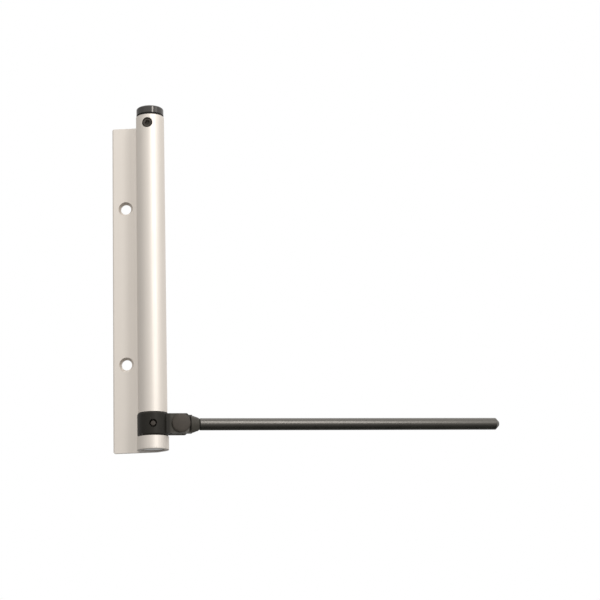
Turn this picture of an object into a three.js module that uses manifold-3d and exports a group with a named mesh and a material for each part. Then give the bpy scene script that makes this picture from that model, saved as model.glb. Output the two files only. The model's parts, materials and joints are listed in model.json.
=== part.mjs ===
// Surface-fixed torsion-spring door closer.
//
// An aluminium extrusion (a tube with a mounting flange on its left) stands upright against a door
// frame. A spring inside the tube turns a black collar, which stands in a window milled through the
// tube near its lower end. The collar's forked ear carries a round steel arm.
//
// Millimetres, +Z up, +Y into the door frame. The origin is on the flat back face, midway between
// the two screw holes.

import * as THREE from 'three';
import { mergeVertices } from 'three/addons/utils/BufferGeometryUtils.js';
import Module from 'manifold-3d';

const wasm = await Module();
wasm.setup();

// ---- Driving dimensions -------------------------------------------------------------------------

const GAP = 0.3;                    // left between pieces that touch
const BEYOND = 1;                   // how far a cutter runs past what it cuts

const HEXAGON = 6;                  // facets round a full turn
const TINY = 16;
const HOLE = 24;
const SMALL = 32;
const MEDIUM = 48;
const LARGE = 72;
const CURVE_STEPS = 12;             // along a curve in an outline

const BODY_LENGTH = 227;            // the tube, end to end
const TUBE_RADIUS = 9.5;
const BORE_RADIUS = 7.6;
const AXIS_DEPTH = 16;              // from the mounting face to the tube's axis

const FLANGE_LEFT = -28.3;          // the flange's free edge, from the tube's axis
const FLANGE_THICKNESS = 2.6;
const FLANGE_FRONT = AXIS_DEPTH - FLANGE_THICKNESS;
const FLANGE_LOW = 0.5;             // the flange stops just short of the tube at both ends
const FLANGE_TOP = 225.2;
const FLANGE_CORNER = 1.5;
const FLANGE_ROUND = 1;             // along the free edge, at the front
const FLANGE_CHAMFER = 0.5;         // and at the back
const FILLET = 4;                   // between the flange and the tube's left side
const BACK_CORNER_RADIUS = 6;
const BACK_CORNER_X = -1.5;

const SCREW_HOLE_X = -19.2;
const SCREW_HOLE_SPACING = 108;
const SCREW_HOLE_RADIUS = 3.5;
const COUNTERSINK_RADIUS = 4.9;

const HUB_CENTRE = 16.3;            // the collar's height above the tube's lower end
const HUB_HEIGHT = 15;
const HUB_RADIUS = 10.1;
const HUB_ROUND = 0.7;
const HUB_PIN_BEARING = -5;         // degrees, from square to the arm
const WINDOW_LOW = HUB_CENTRE - HUB_HEIGHT / 2 - GAP;
const WINDOW_HIGH = HUB_CENTRE + HUB_HEIGHT / 2 + GAP;
const WINDOW_RADIUS = 10.7;
const WINDOW_SIDE = 14;             // half the width of the cutter that opens the window's sides
const WINDOW_BACK = 7.6;            // how far back the sides of the window are milled
const FOOT_RADIUS = 10.3;           // the stub below the window keeps its full, unturned size
const FOOT_CHAMFER = 0.5;
const FOOT_BACK = 5;                // the stub's full size ends here, where the flange begins

const ARM_HEIGHT = 16.8;            // the ear and the arm sit a little above the collar's middle
const ARM_REST_ANGLE = 14.3;        // degrees behind the plane of the mounting face
const FORK_HALF_WIDTH = 6;
const FORK_HALF_HEIGHT = 6.4;
const FORK_END = 23.1;
const FORK_CORNER = [1.3, 1.5];     // how far along the arm, and how deep, the ear's corners are cut
const FORK_FLOOR = 10.6;
const SLOT_HALF_WIDTH = 3.6;
const PIVOT_X = 17.7;
const PIVOT_RADIUS = 3;
const PIVOT_HEAD_RADIUS = 6.05;
const PIVOT_HEAD_HEIGHT = 1.9;
const PIVOT_HEAD_CHAMFER = [0.7, 0.6];
const PIVOT_REACH = 11.6;           // the threaded end's distance behind the arm's axis
const WASHER_RADIUS = 5.6;
const NUT_WASHER_THICKNESS = 0.8;
const FRICTION_WASHER_THICKNESS = 0.7;
const NUT_RADIUS = 5.75;            // over the corners
const NUT_HEIGHT = 3.2;

const TONGUE_HALF_WIDTH = 2.3;
const TONGUE_HALF_HEIGHT = 5.9;
const TONGUE_STOP = 5.3;            // half the height of its square inner end
const TONGUE_SLOPE = 0.6;           // length of the slope behind that end
const NECK_START = 24.4;            // the round, tapered neck begins just outside the fork
const NECK_END = 30.1;
const NECK_RADIUS = [6.15, 4.25];   // at its wide end and at its narrow end
const NECK_ROUND = 0.4;             // along the edge of the wide end
const NECK_CHAMFER = [0.4, 0.4];    // length and depth of the chamfer that ends it

const ROD_RADIUS = 4;
const ROD_END = 235.5;
const ROD_CHAMFER = 2.4;
const ROD_START_CHAMFER = 0.35;
const ROD_SOCKET_DEPTH = 14;
const SPIGOT_RADIUS = 2.5;

const SPINDLE_LOW = 1.5;
const SPINDLE_RADIUS = 4.5;
const SPINDLE_NECK_RADIUS = 3;
const SPINDLE_CHAMFER = 0.4;
const RING_GROOVE = [2.1, 3.5];
const RING_GROOVE_DEPTH = 0.7;
const RING_WIDTH = 1.7;
const RING_EYE = { radius: 1.3, hole: 0.6, x: 2.1, y: -5.4 };
const RING_OPENING = 0.9;           // half its width
const PIN_RADIUS = 1.7;
const PIN_CHAMFER = 0.4;
const PIN_SINK = [1.7, 1.2];        // the countersink at the pin's front end: width and depth
const BUSH_RADIUS = BORE_RADIUS - GAP;
const THRUST_THICKNESS = 0.8;
const BUSH_LENGTH = 8;
const UPPER_BUSH_LOW = WINDOW_HIGH + THRUST_THICKNESS + GAP;
const LOWER_BUSH_LOW = 3.5;
const LOWER_BUSH_HIGH = WINDOW_LOW - THRUST_THICKNESS - GAP;
const PLUG_LOW = 0.5;
const COLLAR_LOW = 34.3;
const COLLAR_HIGH = 43.3;
const COLLAR_PIN_RADIUS = 1;
const COLLAR_PIN_HEIGHT = COLLAR_LOW + 2.5;
const CROSS_HOLE_REACH = 12;

const WIRE_RADIUS = 1.2;
const COIL_RADIUS = 5.4;
const COIL_LOW = 48.8;
const COIL_HIGH = 207.5;
const COIL_TURNS = 24;
const COIL_STEPS = 13;              // facets of the wire along each turn
const WIRE_STEPS = 3;               // and half those round it
const TANG_SHARE = 0.025;           // of the wire's parameter, at each end
const TANG_CURVE = 0.6;             // the part of that which bends; the rest is straight
const TANG_RISE = 5;                // how far the wire climbs while it bends
const TANG_STRAIGHT = 4.4;          // and how far it runs on, straight
const TANG_BEND = 1.2;              // radians that the wire turns through as it bends into a tang
const TANG_HOLE_RADIUS = WIRE_RADIUS + 0.4;
const TANG_HOLE_DEPTH = [6, 4.5];   // in the collar, and in the cap
const MANDREL_LOW = COLLAR_HIGH + 2;
const MANDREL_SPIGOT = 7.5;
const SLEEVE_CLEARANCE = 0.25;

const CAP_RADIUS = 9.2;
const CAP_TOP = 233.5;
const CAP_HEAD_LOW = 228.3;
const CAP_BARREL_LOW = 213;
const CAP_CHAMFER = 0.8;
const CAP_KEY_RADIUS = 4;
const CAP_KEY_DEPTH = 3.5;
const LOCK_HEIGHT = 221;
const LOCK_BEARING = -4;            // degrees, from the front towards the flange
const LOCK_RADIUS = 3.25;
const LOCK_FACE = TUBE_RADIUS - 0.4;
const LOCK_CHAMFER = 0.3;
const LOCK_POINT_RADIUS = 2.45;
const LOCK_GROOVE_RADIUS = 5.9;
const LOCK_GROOVE_HALF = LOCK_RADIUS + 0.5;
const LOCK_KEY_RADIUS = 1.75;
const LOCK_KEY_DEPTH = 1.4;

// ---- Materials ----------------------------------------------------------------------------------

const finish = (color, roughness, metalness) =>
  new THREE.MeshStandardMaterial({ color, roughness, metalness });

const aluminium = () => finish(0xcfc6ba, 0.38, 1.0);
const blackSteel = () => finish(0x2a2a29, 0.5, 0.6);
const rodSteel = () => finish(0x1c1d1c, 0.28, 0.7);
const brightSteel = () => finish(0x9a9a98, 0.35, 1.0);
const springSteel = () => finish(0x4a4c50, 0.4, 0.9);
const bronze = () => finish(0x9c7a45, 0.45, 0.9);
const blackPlastic = () => finish(0x17171a, 0.25, 0.0);
const nylon = () => finish(0xd9d5c8, 0.6, 0.0);

// ---- Solid helpers ------------------------------------------------------------------------------

function toSolid(geometry) {
  const plain = geometry.clone();
  plain.deleteAttribute('normal');
  plain.deleteAttribute('uv');
  const merged = mergeVertices(plain, 1e-4);
  const vertProperties = new Float32Array(merged.attributes.position.array);
  const triVerts = new Uint32Array(merged.index.array);
  return new wasm.Manifold(new wasm.Mesh({ numProp: 3, vertProperties, triVerts }));
}

function toGeometry(solid) {
  const { vertProperties, triVerts } = solid.getMesh();
  const geometry = new THREE.BufferGeometry();
  geometry.setAttribute('position', new THREE.BufferAttribute(new Float32Array(vertProperties), 3));
  geometry.setIndex(new THREE.BufferAttribute(new Uint32Array(triVerts), 1));
  geometry.computeVertexNormals();
  return geometry;
}

function box(x, y, z) {
  const geometry = new THREE.BoxGeometry(x[1] - x[0], y[1] - y[0], z[1] - z[0]);
  return toSolid(geometry.translate((x[0] + x[1]) / 2, (y[0] + y[1]) / 2, (z[0] + z[1]) / 2));
}

// A round body about Z. The profile is a list of [radius, z], closed on itself or on the axis.
function turned(profile, segments = SMALL) {
  const points = profile.map(([radius, z]) => new THREE.Vector2(radius, z));
  return toSolid(new THREE.LatheGeometry(points, segments).rotateX(Math.PI / 2));
}

function rod(radius, low, high, segments = SMALL) {
  return turned([[0, low], [radius, low], [radius, high], [0, high]], segments);
}

function ring(inner, outer, low, high, segments = SMALL) {
  return turned([[inner, low], [outer, low], [outer, high], [inner, high], [inner, low]], segments);
}

// Turns a body about Z so that its axis runs along +Y, or along +X.
const alongY = (solid, x = 0, z = 0) => solid.rotate([-90, 0, 0]).translate([x, 0, z]);
const alongX = (solid) => solid.rotate([0, 90, 0]);

function hexRod(radius, low, high) {
  return rod(radius, low, high, HEXAGON);
}

function extruded(shape, low, high) {
  const options = { depth: high - low, bevelEnabled: false, curveSegments: CURVE_STEPS };
  return toSolid(new THREE.ExtrudeGeometry(shape, options).translate(0, 0, low));
}

// An outline drawn in X and Z, extruded between two values of Y.
function slab(shape, yLow, yHigh) {
  return extruded(shape, -yHigh, -yLow).rotate([90, 0, 0]);
}

function piece(name, solid, material) {
  const mesh = new THREE.Mesh(toGeometry(solid), material);
  mesh.name = name;
  return mesh;
}

// ---- Housing ------------------------------------------------------------------------------------

// The extrusion's outline, without its bore: flange, fillet, tube and the rounded corner behind it.
function sectionOutline() {
  const cornerY = AXIS_DEPTH - BACK_CORNER_RADIUS;
  const cornerBearing = Math.atan2(cornerY, BACK_CORNER_X);
  const cornerDistance = Math.hypot(BACK_CORNER_X, cornerY);
  const flank = cornerBearing - Math.acos((TUBE_RADIUS - BACK_CORNER_RADIUS) / cornerDistance);
  const shape = new THREE.Shape();
  shape.moveTo(FLANGE_LEFT + FLANGE_CHAMFER, AXIS_DEPTH);
  shape.lineTo(BACK_CORNER_X, AXIS_DEPTH);
  shape.absarc(BACK_CORNER_X, cornerY, BACK_CORNER_RADIUS, Math.PI / 2, flank, true);
  shape.absarc(0, 0, TUBE_RADIUS, flank, -Math.PI, true);
  shape.lineTo(-TUBE_RADIUS, FLANGE_FRONT - FILLET);
  shape.quadraticCurveTo(-TUBE_RADIUS, FLANGE_FRONT, -TUBE_RADIUS - FILLET, FLANGE_FRONT);
  shape.lineTo(FLANGE_LEFT + FLANGE_ROUND, FLANGE_FRONT);
  shape.quadraticCurveTo(FLANGE_LEFT, FLANGE_FRONT, FLANGE_LEFT, FLANGE_FRONT + FLANGE_ROUND);
  shape.lineTo(FLANGE_LEFT, AXIS_DEPTH - FLANGE_CHAMFER);
  shape.closePath();
  return shape;
}

// The flange seen from the front, with its two free corners rounded.
function frontOutline() {
  const cornerX = FLANGE_LEFT + FLANGE_CORNER;
  const shape = new THREE.Shape();
  shape.moveTo(cornerX, FLANGE_LOW);
  shape.lineTo(WINDOW_SIDE, FLANGE_LOW);
  shape.lineTo(WINDOW_SIDE, FLANGE_TOP);
  shape.lineTo(cornerX, FLANGE_TOP);
  shape.quadraticCurveTo(FLANGE_LEFT, FLANGE_TOP, FLANGE_LEFT, FLANGE_TOP - FLANGE_CORNER);
  shape.lineTo(FLANGE_LEFT, FLANGE_LOW + FLANGE_CORNER);
  shape.quadraticCurveTo(FLANGE_LEFT, FLANGE_LOW, cornerX, FLANGE_LOW);
  return shape;
}

// A countersunk hole for a wood screw, through the flange from front to back.
function screwHole(z) {
  const front = FLANGE_FRONT - BEYOND;
  const seat = FLANGE_FRONT + COUNTERSINK_RADIUS - SCREW_HOLE_RADIUS;
  const profile = [
    [0, front], [COUNTERSINK_RADIUS + BEYOND, front], [SCREW_HOLE_RADIUS, seat],
    [SCREW_HOLE_RADIUS, AXIS_DEPTH + BEYOND], [0, AXIS_DEPTH + BEYOND],
  ];
  return alongY(turned(profile), SCREW_HOLE_X, z);
}

// The window that the arm's collar and ear swing in.
function windowCut() {
  const span = [WINDOW_LOW, WINDOW_HIGH];
  const sides = box([-WINDOW_SIDE, WINDOW_SIDE], [-WINDOW_SIDE, WINDOW_BACK], span);
  return rod(WINDOW_RADIUS, ...span, LARGE).add(sides);
}

// The stub below the window, a little wider than the tube above it.
function foot() {
  const round = turned([
    [0, 0], [FOOT_RADIUS - FOOT_CHAMFER, 0], [FOOT_RADIUS, FOOT_CHAMFER],
    [FOOT_RADIUS, WINDOW_LOW - FOOT_CHAMFER], [FOOT_RADIUS - FOOT_CHAMFER, WINDOW_LOW], [0, WINDOW_LOW],
  ], LARGE);
  const reach = FOOT_RADIUS + BEYOND;
  return round.intersect(box([-reach, reach], [-reach, FOOT_BACK], [-BEYOND, WINDOW_LOW + BEYOND]));
}

function housing() {
  const front = slab(frontOutline(), -TUBE_RADIUS - BEYOND, AXIS_DEPTH + BEYOND);
  const extrusion = extruded(sectionOutline(), 0, FLANGE_TOP).intersect(front);
  const tube = rod(TUBE_RADIUS, 0, BODY_LENGTH, LARGE);
  let body = extrusion.add(tube).add(foot());
  body = body.subtract(rod(BORE_RADIUS, -BEYOND, BODY_LENGTH + BEYOND, MEDIUM)).subtract(windowCut());
  for (const side of [-1, 1]) {
    body = body.subtract(screwHole(BODY_LENGTH / 2 + side * SCREW_HOLE_SPACING / 2));
  }
  const lockHole = towardsLock(rod(LOCK_RADIUS + GAP, -TUBE_RADIUS - BEYOND, 0));
  return piece('housing', body.subtract(lockHole), aluminium());
}

// ---- Tension cap and its lock -------------------------------------------------------------------

// Lays a body drawn about Z along the locking screw's axis: -Z becomes the way out of the tube.
function towardsLock(solid) {
  return alongY(solid, 0, LOCK_HEIGHT).rotate([0, 0, LOCK_BEARING]);
}

// A hole for one of the spring's tangs. The coil has whole turns, so the tangs stand one bend
// before (side -1) and one bend after (side 1) the bearing of +X.
function tangHole(side, low, high) {
  const bearing = side * THREE.MathUtils.radToDeg(TANG_BEND);
  return rod(TANG_HOLE_RADIUS, low, high, TINY).translate([COIL_RADIUS, 0, 0]).rotate([0, 0, bearing]);
}

function tensionCap() {
  const grooveLow = LOCK_HEIGHT - LOCK_GROOVE_HALF;
  const grooveHigh = LOCK_HEIGHT + LOCK_GROOVE_HALF;
  const body = turned([
    [0, CAP_BARREL_LOW], [BUSH_RADIUS, CAP_BARREL_LOW],
    [BUSH_RADIUS, grooveLow], [LOCK_GROOVE_RADIUS, grooveLow],
    [LOCK_GROOVE_RADIUS, grooveHigh], [BUSH_RADIUS, grooveHigh],
    [BUSH_RADIUS, CAP_HEAD_LOW], [CAP_RADIUS, CAP_HEAD_LOW],
    [CAP_RADIUS, CAP_TOP - CAP_CHAMFER], [CAP_RADIUS - CAP_CHAMFER, CAP_TOP], [0, CAP_TOP],
  ], LARGE);
  const low = CAP_BARREL_LOW - BEYOND;
  const keySocket = hexRod(CAP_KEY_RADIUS, CAP_TOP - CAP_KEY_DEPTH, CAP_TOP + BEYOND);
  const mandrelHole = rod(SPINDLE_NECK_RADIUS + GAP, low, CAP_BARREL_LOW + MANDREL_SPIGOT + 2 * GAP, HOLE);
  const tang = tangHole(1, low, CAP_BARREL_LOW + TANG_HOLE_DEPTH[1]);
  return piece('tension_cap', body.subtract(keySocket).subtract(mandrelHole).subtract(tang),
    blackPlastic());
}

function capWasher() {
  const washer = ring(BORE_RADIUS, CAP_RADIUS - GAP, BODY_LENGTH + GAP, CAP_HEAD_LOW - GAP, MEDIUM);
  return piece('cap_washer', washer, nylon());
}

// A set screw with a dog point that rides in the cap's groove.
function lockingScrew() {
  const shoulder = BORE_RADIUS + GAP / 2;
  const tip = LOCK_GROOVE_RADIUS + GAP;
  const body = turned([
    [0, -LOCK_FACE], [LOCK_RADIUS - LOCK_CHAMFER, -LOCK_FACE], [LOCK_RADIUS, -LOCK_FACE + LOCK_CHAMFER],
    [LOCK_RADIUS, -shoulder], [LOCK_POINT_RADIUS, -shoulder], [LOCK_POINT_RADIUS, -tip], [0, -tip],
  ]);
  const socket = hexRod(LOCK_KEY_RADIUS, -LOCK_FACE - BEYOND, -LOCK_FACE + LOCK_KEY_DEPTH);
  return piece('locking_screw', towardsLock(body.subtract(socket)), blackSteel());
}

// ---- Spring and its guides ----------------------------------------------------------------------

// A helix whose two ends bend smoothly into straight axial tangs.
class SpringCurve extends THREE.Curve {
  getPoint(t, target = new THREE.Vector3()) {
    const inner = THREE.MathUtils.clamp((t - TANG_SHARE) / (1 - 2 * TANG_SHARE), 0, 1);
    const side = t < 0.5 ? -1 : 1;
    const past = Math.max(0, TANG_SHARE - Math.min(t, 1 - t)) / TANG_SHARE;
    const turn = Math.min(past / TANG_CURVE, 1) * Math.PI / 2;
    const straight = Math.max(past - TANG_CURVE, 0) / (1 - TANG_CURVE);
    const angle = inner * COIL_TURNS * 2 * Math.PI + side * Math.sin(turn) * TANG_BEND;
    const climb = (1 - Math.cos(turn)) * TANG_RISE + straight * TANG_STRAIGHT;
    const z = THREE.MathUtils.lerp(COIL_LOW, COIL_HIGH, inner) + side * climb;
    return target.set(COIL_RADIUS * Math.cos(angle), COIL_RADIUS * Math.sin(angle), z);
  }
}

function torsionSpring() {
  const wire = new THREE.Shape();
  wire.absarc(0, 0, WIRE_RADIUS, 0, 2 * Math.PI);
  const options = { steps: COIL_TURNS * COIL_STEPS, bevelEnabled: false, curveSegments: WIRE_STEPS };
  const coil = new THREE.ExtrudeGeometry(wire, { ...options, extrudePath: new SpringCurve() });
  return piece('torsion_spring', toSolid(coil), springSteel());
}

// The bar inside the coil, with a spigot that turns in the cap.
function springMandrel() {
  const radius = COIL_RADIUS - WIRE_RADIUS - GAP;
  const shoulder = CAP_BARREL_LOW - GAP;
  const top = shoulder + MANDREL_SPIGOT;
  const body = turned([
    [0, MANDREL_LOW], [radius - SPINDLE_CHAMFER, MANDREL_LOW], [radius, MANDREL_LOW + SPINDLE_CHAMFER],
    [radius, shoulder], [SPINDLE_NECK_RADIUS, shoulder], [SPINDLE_NECK_RADIUS, top], [0, top],
  ]);
  return piece('spring_mandrel', body, brightSteel());
}

function springSleeve() {
  const inner = COIL_RADIUS + WIRE_RADIUS + SLEEVE_CLEARANCE;
  const outer = BORE_RADIUS - SLEEVE_CLEARANCE;
  const sleeve = ring(inner, outer, COLLAR_HIGH + BEYOND, CAP_BARREL_LOW - BEYOND);
  return piece('spring_sleeve', sleeve, nylon());
}

// ---- Spindle, its bearings and collar -----------------------------------------------------------

// A hole or pin across the spindle.
function crossBar(radius, z, reach, bearing = 0) {
  return alongY(rod(radius, -reach, reach, HOLE), 0, z).rotate([0, 0, bearing]);
}

function spindle() {
  const shoulder = COLLAR_LOW - GAP;
  const top = COLLAR_HIGH + BEYOND - GAP;
  const grooveRadius = SPINDLE_RADIUS - RING_GROOVE_DEPTH;
  const body = turned([
    [0, SPINDLE_LOW], [SPINDLE_RADIUS - SPINDLE_CHAMFER, SPINDLE_LOW],
    [SPINDLE_RADIUS, SPINDLE_LOW + SPINDLE_CHAMFER],
    [SPINDLE_RADIUS, RING_GROOVE[0]], [grooveRadius, RING_GROOVE[0]],
    [grooveRadius, RING_GROOVE[1]], [SPINDLE_RADIUS, RING_GROOVE[1]],
    [SPINDLE_RADIUS, shoulder], [SPINDLE_NECK_RADIUS, shoulder], [SPINDLE_NECK_RADIUS, top], [0, top],
  ], MEDIUM);
  const bearing = ARM_REST_ANGLE + HUB_PIN_BEARING;
  const hubPinHole = crossBar(PIN_RADIUS + GAP, HUB_CENTRE, CROSS_HOLE_REACH, bearing);
  const collarPinHole = crossBar(COLLAR_PIN_RADIUS + GAP, COLLAR_PIN_HEIGHT, CROSS_HOLE_REACH);
  return piece('spindle', body.subtract(hubPinHole).subtract(collarPinHole), brightSteel());
}

function springCollar() {
  const body = ring(SPINDLE_NECK_RADIUS + GAP, BUSH_RADIUS, COLLAR_LOW, COLLAR_HIGH);
  const lowerTang = tangHole(-1, COLLAR_HIGH - TANG_HOLE_DEPTH[0], COLLAR_HIGH + BEYOND);
  const pinHole = crossBar(COLLAR_PIN_RADIUS + GAP, COLLAR_PIN_HEIGHT, CROSS_HOLE_REACH);
  return piece('spring_collar', body.subtract(lowerTang).subtract(pinHole), brightSteel());
}

function collarPin() {
  const pin = crossBar(COLLAR_PIN_RADIUS, COLLAR_PIN_HEIGHT, BUSH_RADIUS - 2 * GAP);
  return piece('collar_pin', pin, brightSteel());
}

function bush(name, low, high) {
  return piece(name, ring(SPINDLE_RADIUS + GAP, BUSH_RADIUS, low, high), bronze());
}

function thrustWasher(name, low) {
  return piece(name, ring(SPINDLE_RADIUS + GAP, BUSH_RADIUS, low, low + THRUST_THICKNESS), nylon());
}

// An open ring with two eyes for the pliers, snapped into the spindle's groove.
function retainingRing() {
  const low = RING_GROOVE[0] + GAP;
  const high = RING_GROOVE[1] - GAP;
  const inner = SPINDLE_RADIUS - RING_GROOVE_DEPTH + GAP;
  const past = [low - BEYOND, high + BEYOND];
  let body = ring(inner, inner + RING_WIDTH, low, high);
  for (const side of [-1, 1]) {
    const eyePlace = [side * RING_EYE.x, RING_EYE.y, 0];
    body = body.add(rod(RING_EYE.radius, low, high, TINY).translate(eyePlace));
    body = body.subtract(rod(RING_EYE.hole, ...past, TINY).translate(eyePlace));
  }
  const opening = box([-RING_OPENING, RING_OPENING], [-BORE_RADIUS, 0], past);
  return piece('retaining_ring', body.subtract(opening), springSteel());
}

function bottomPlug() {
  return piece('bottom_plug', rod(BUSH_RADIUS, PLUG_LOW, SPINDLE_LOW - GAP), blackPlastic());
}

// ---- Arm: drawn along +X from the tube's axis, with Z = 0 at the arm's height --------------------

// An outline in X and Z that is the same above and below the X axis, from its upper half.
function mirrored(upper) {
  const lower = upper.map(([x, z]) => [x, -z]);
  const points = [...lower, ...upper.toReversed()];
  return new THREE.Shape(points.map(([x, z]) => new THREE.Vector2(x, z)));
}

// The ear, with the corners of its free end cut off.
function earOutline() {
  return mirrored([
    [0, FORK_HALF_HEIGHT], [FORK_END - FORK_CORNER[0], FORK_HALF_HEIGHT],
    [FORK_END, FORK_HALF_HEIGHT - FORK_CORNER[1]],
  ]);
}

function armHub() {
  const middle = HUB_CENTRE - ARM_HEIGHT;
  const low = middle - HUB_HEIGHT / 2;
  const high = middle + HUB_HEIGHT / 2;
  const past = [low - BEYOND, high + BEYOND];
  const collar = turned([
    [0, low], [HUB_RADIUS - HUB_ROUND, low], [HUB_RADIUS, low + HUB_ROUND],
    [HUB_RADIUS, high - HUB_ROUND], [HUB_RADIUS - HUB_ROUND, high], [0, high],
  ], LARGE);
  const ear = slab(earOutline(), -FORK_HALF_WIDTH, FORK_HALF_WIDTH);
  const slot = box([FORK_FLOOR, FORK_END + BEYOND], [-SLOT_HALF_WIDTH, SLOT_HALF_WIDTH], past);
  const bore = rod(SPINDLE_RADIUS + GAP, ...past);
  const reach = FORK_HALF_WIDTH + BEYOND;
  const pivotHole = alongY(rod(PIVOT_RADIUS + GAP, -reach, reach, HOLE), PIVOT_X);
  const pinHole = turned([
    [0, -HUB_RADIUS - BEYOND], [PIN_RADIUS + PIN_SINK[0], -HUB_RADIUS - BEYOND],
    [PIN_RADIUS + GAP, -HUB_RADIUS + PIN_SINK[1]], [PIN_RADIUS + GAP, HUB_RADIUS + BEYOND],
    [0, HUB_RADIUS + BEYOND],
  ], HOLE);
  const body = collar.add(ear).subtract(slot).subtract(bore).subtract(pivotHole);
  return piece('arm_hub', body.subtract(acrossHub(pinHole)), blackSteel());
}

// Lays a body drawn about Z across the collar, along its pin.
function acrossHub(solid) {
  return alongY(solid, 0, HUB_CENTRE - ARM_HEIGHT).rotate([0, 0, HUB_PIN_BEARING]);
}

function hubPin() {
  const reach = HUB_RADIUS - 2 * GAP;
  const profile = [
    [0, -reach], [PIN_RADIUS - PIN_CHAMFER, -reach], [PIN_RADIUS, -reach + PIN_CHAMFER],
    [PIN_RADIUS, reach - PIN_CHAMFER], [PIN_RADIUS - PIN_CHAMFER, reach], [0, reach],
  ];
  return piece('hub_pin', acrossHub(turned(profile, HOLE)), blackSteel());
}

function pivotScrew() {
  const seat = -FORK_HALF_WIDTH - GAP;
  const crown = seat - PIVOT_HEAD_HEIGHT;
  const profile = [
    [0, crown], [PIVOT_HEAD_RADIUS - PIVOT_HEAD_CHAMFER[0], crown],
    [PIVOT_HEAD_RADIUS, crown + PIVOT_HEAD_CHAMFER[1]], [PIVOT_HEAD_RADIUS, seat],
    [PIVOT_RADIUS, seat], [PIVOT_RADIUS, PIVOT_REACH - PIN_CHAMFER],
    [PIVOT_RADIUS - PIN_CHAMFER, PIVOT_REACH], [0, PIVOT_REACH],
  ];
  return piece('pivot_screw', alongY(turned(profile, MEDIUM), PIVOT_X), blackSteel());
}

function flatWasher(name, low, thickness, material) {
  const washer = ring(PIVOT_RADIUS + GAP, WASHER_RADIUS, low, low + thickness, HOLE);
  return piece(name, alongY(washer, PIVOT_X), material);
}

function pivotNut() {
  const low = FORK_HALF_WIDTH + NUT_WASHER_THICKNESS + 2 * GAP;
  const high = low + NUT_HEIGHT;
  const hole = rod(PIVOT_RADIUS + GAP, low - BEYOND, high + BEYOND, HOLE);
  return piece('pivot_nut', alongY(hexRod(NUT_RADIUS, low, high).subtract(hole), PIVOT_X), blackSteel());
}

// The tongue's inner end is nearly square, so that its corners stop the tilt on the slot's floor.
function tongueOutline() {
  const inner = PIVOT_X - TONGUE_HALF_HEIGHT;
  return mirrored([
    [inner, TONGUE_STOP], [inner + TONGUE_SLOPE, TONGUE_HALF_HEIGHT],
    [NECK_START + BEYOND, TONGUE_HALF_HEIGHT],
  ]);
}

function armEye() {
  const tongue = slab(tongueOutline(), -TONGUE_HALF_WIDTH, TONGUE_HALF_WIDTH);
  const [wide, narrow] = NECK_RADIUS;
  const coneEnd = NECK_END - NECK_CHAMFER[0];
  const spigotEnd = NECK_END + ROD_SOCKET_DEPTH - BEYOND;
  const neck = alongX(turned([
    [0, NECK_START], [wide - NECK_ROUND, NECK_START], [wide, NECK_START + NECK_ROUND],
    [narrow, coneEnd], [narrow - NECK_CHAMFER[1], NECK_END], [SPIGOT_RADIUS, NECK_END],
    [SPIGOT_RADIUS, spigotEnd], [0, spigotEnd],
  ], MEDIUM));
  const reach = TONGUE_HALF_WIDTH + BEYOND;
  const hole = alongY(rod(PIVOT_RADIUS + GAP, -reach, reach, HOLE), PIVOT_X);
  return piece('arm_eye', tongue.add(neck).subtract(hole), blackSteel());
}

function armRod() {
  const start = NECK_END + GAP;
  const socket = SPIGOT_RADIUS + GAP;
  const floor = start + ROD_SOCKET_DEPTH;
  const profile = [
    [socket, start], [ROD_RADIUS - ROD_START_CHAMFER, start], [ROD_RADIUS, start + ROD_START_CHAMFER],
    [ROD_RADIUS, ROD_END - ROD_CHAMFER], [ROD_RADIUS - ROD_CHAMFER, ROD_END],
    [0, ROD_END], [0, floor], [socket, floor], [socket, start],
  ];
  return piece('arm_rod', alongX(turned(profile, MEDIUM)), rodSteel());
}

// ---- Assembly -----------------------------------------------------------------------------------

// Everything is drawn from the lower end of the tube's axis; this group carries it to the origin.
const body = new THREE.Group();
body.position.set(-SCREW_HOLE_X, -AXIS_DEPTH, -BODY_LENGTH / 2);
body.add(
  housing(), tensionCap(), capWasher(), lockingScrew(),
  torsionSpring(), springMandrel(), springSleeve(),
  spindle(), springCollar(), collarPin(),
  bush('upper_bush', UPPER_BUSH_LOW, UPPER_BUSH_LOW + BUSH_LENGTH),
  bush('lower_bush', LOWER_BUSH_LOW, LOWER_BUSH_HIGH),
  thrustWasher('upper_thrust_washer', WINDOW_HIGH),
  thrustWasher('lower_thrust_washer', WINDOW_LOW - THRUST_THICKNESS),
  retainingRing(), bottomPlug(),
);

const arm = new THREE.Group();
arm.position.z = ARM_HEIGHT;
arm.rotation.z = THREE.MathUtils.degToRad(ARM_REST_ANGLE);
arm.add(
  armHub(), hubPin(), pivotScrew(),
  flatWasher('front_friction_washer', -SLOT_HALF_WIDTH + GAP, FRICTION_WASHER_THICKNESS, nylon()),
  flatWasher('rear_friction_washer', TONGUE_HALF_WIDTH + GAP, FRICTION_WASHER_THICKNESS, nylon()),
  flatWasher('nut_washer', FORK_HALF_WIDTH + GAP, NUT_WASHER_THICKNESS, blackSteel()),
  pivotNut(), armEye(), armRod(),
);
body.add(arm);

const group = new THREE.Group();
group.add(body);

export default group;
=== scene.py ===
"""Looks of the surface-fixed spring door closer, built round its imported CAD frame.

Shapes are drawn in millimetres in one of two local frames, and placed in the row frame in metres:
BODY, whose Z axis is the tube's axis with Z = 0 at the tube's lower end, and ARM, which shares that
axis but has Z = 0 at the arm's height and its X axis along the arm.
"""

import json
import math

import bmesh
import bpy
from mathutils import Matrix, Vector


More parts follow.
